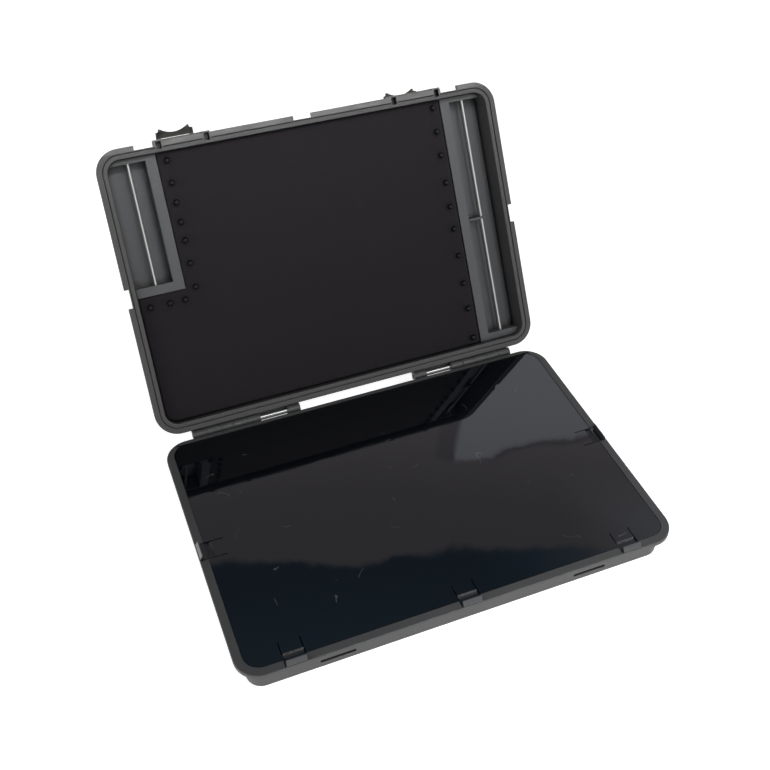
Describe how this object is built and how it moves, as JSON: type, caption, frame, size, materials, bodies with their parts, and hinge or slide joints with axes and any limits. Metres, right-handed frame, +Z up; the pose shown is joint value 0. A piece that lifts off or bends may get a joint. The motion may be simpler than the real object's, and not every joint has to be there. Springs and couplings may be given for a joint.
{
  "type": "fishing rig box",
  "caption": "Hinged rig box, shown open: foam rig board with pins and rod channels in the lid, smoked clip-down cover on the base, sprung clips and front latches.",
  "frame": {"origin": "middle of the near half's flat underside, on the surface it lies on", "axes": "+X along the hinge to the right, +Y from the front to the hinge, +Z up"},
  "size_m": [0.365, 0.4229, 0.2481],
  "materials": {
    "case_plastic": "textured dark grey moulding",
    "channel_plastic": "satin dark grey moulding",
    "latch_plastic": "matt dark grey moulding",
    "smoked_plate": "polished smoked clear plastic",
    "foam": "matt closed-cell foam",
    "pin_plastic": "polished black",
    "steel": "drawn steel rod"
  },
  "bodies": {
    "base": {"near_tray": "case_plastic", "near_pad": "foam", "left_hinge_pin": "steel", "right_hinge_pin": "steel"},
    "lid": {"far_tray": "case_plastic", "foam_board": "foam", "left_channel": "channel_plastic", "right_channel": "channel_plastic", "left_rod": "steel", "right_rod": "steel", "left_pin_heads": "pin_plastic", "right_pin_heads": "pin_plastic", "left_pin_shafts": "steel", "right_pin_shafts": "steel", "left_latch_pin": "steel", "right_latch_pin": "steel"},
    "cover": {"inner_cover": "smoked_plate"},
    "left_latch": {"left_latch": "latch_plastic"},
    "right_latch": {"right_latch": "latch_plastic"},
    "clip_front_left": {"clip_front_left": "smoked_plate"},
    "clip_front_middle": {"clip_front_middle": "smoked_plate"},
    "clip_front_right": {"clip_front_right": "smoked_plate"},
    "clip_side_left": {"clip_side_left": "smoked_plate"},
    "clip_side_right": {"clip_side_right": "smoked_plate"}
  },
  "joints": [
    {"name": "case_hinge", "type": "hinge", "parent": "base", "child": "lid", "pos_m": [0, 0.129, 0.028], "axis": [-1, 0, 0], "range_deg": [-120.4, 0]},
    {"name": "cover_hinge", "type": "hinge", "parent": "base", "child": "cover", "pos_m": [0, 0.12, 0.0266], "axis": [-1, 0, 0], "range_deg": [0, 100]},
    {"name": "left_latch_turn", "type": "hinge", "parent": "lid", "child": "left_latch", "pos_m": [-0.1064, 0.26669, 0.23997], "axis": [1, 0, 0], "range_deg": [-16, 172]},
    {"name": "right_latch_turn", "type": "hinge", "parent": "lid", "child": "right_latch", "pos_m": [0.1064, 0.26669, 0.23997], "axis": [1, 0, 0], "range_deg": [-6, 182]},
    {"name": "clip_front_left_flex", "type": "hinge", "parent": "cover", "child": "clip_front_left", "pos_m": [-0.1395, -0.1025, 0.0276], "axis": [-1, 0, 0], "range_deg": [0, 8], "stiffness_Nm_per_rad": 0.05},
    {"name": "clip_front_middle_flex", "type": "hinge", "parent": "cover", "child": "clip_front_middle", "pos_m": [0, -0.1025, 0.0276], "axis": [-1, 0, 0], "range_deg": [0, 8], "stiffness_Nm_per_rad": 0.05},
    {"name": "clip_front_right_flex", "type": "hinge", "parent": "cover", "child": "clip_front_right", "pos_m": [0.1395, -0.1025, 0.0276], "axis": [-1, 0, 0], "range_deg": [0, 8], "stiffness_Nm_per_rad": 0.05},
    {"name": "clip_side_left_flex", "type": "hinge", "parent": "cover", "child": "clip_side_left", "pos_m": [-0.16, 0, 0.0276], "axis": [0, 1, 0], "range_deg": [0, 8], "stiffness_Nm_per_rad": 0.05},
    {"name": "clip_side_right_flex", "type": "hinge", "parent": "cover", "child": "clip_side_right", "pos_m": [0.16, 0, 0.0276], "axis": [0, -1, 0], "range_deg": [0, 8], "stiffness_Nm_per_rad": 0.05}
  ]
}
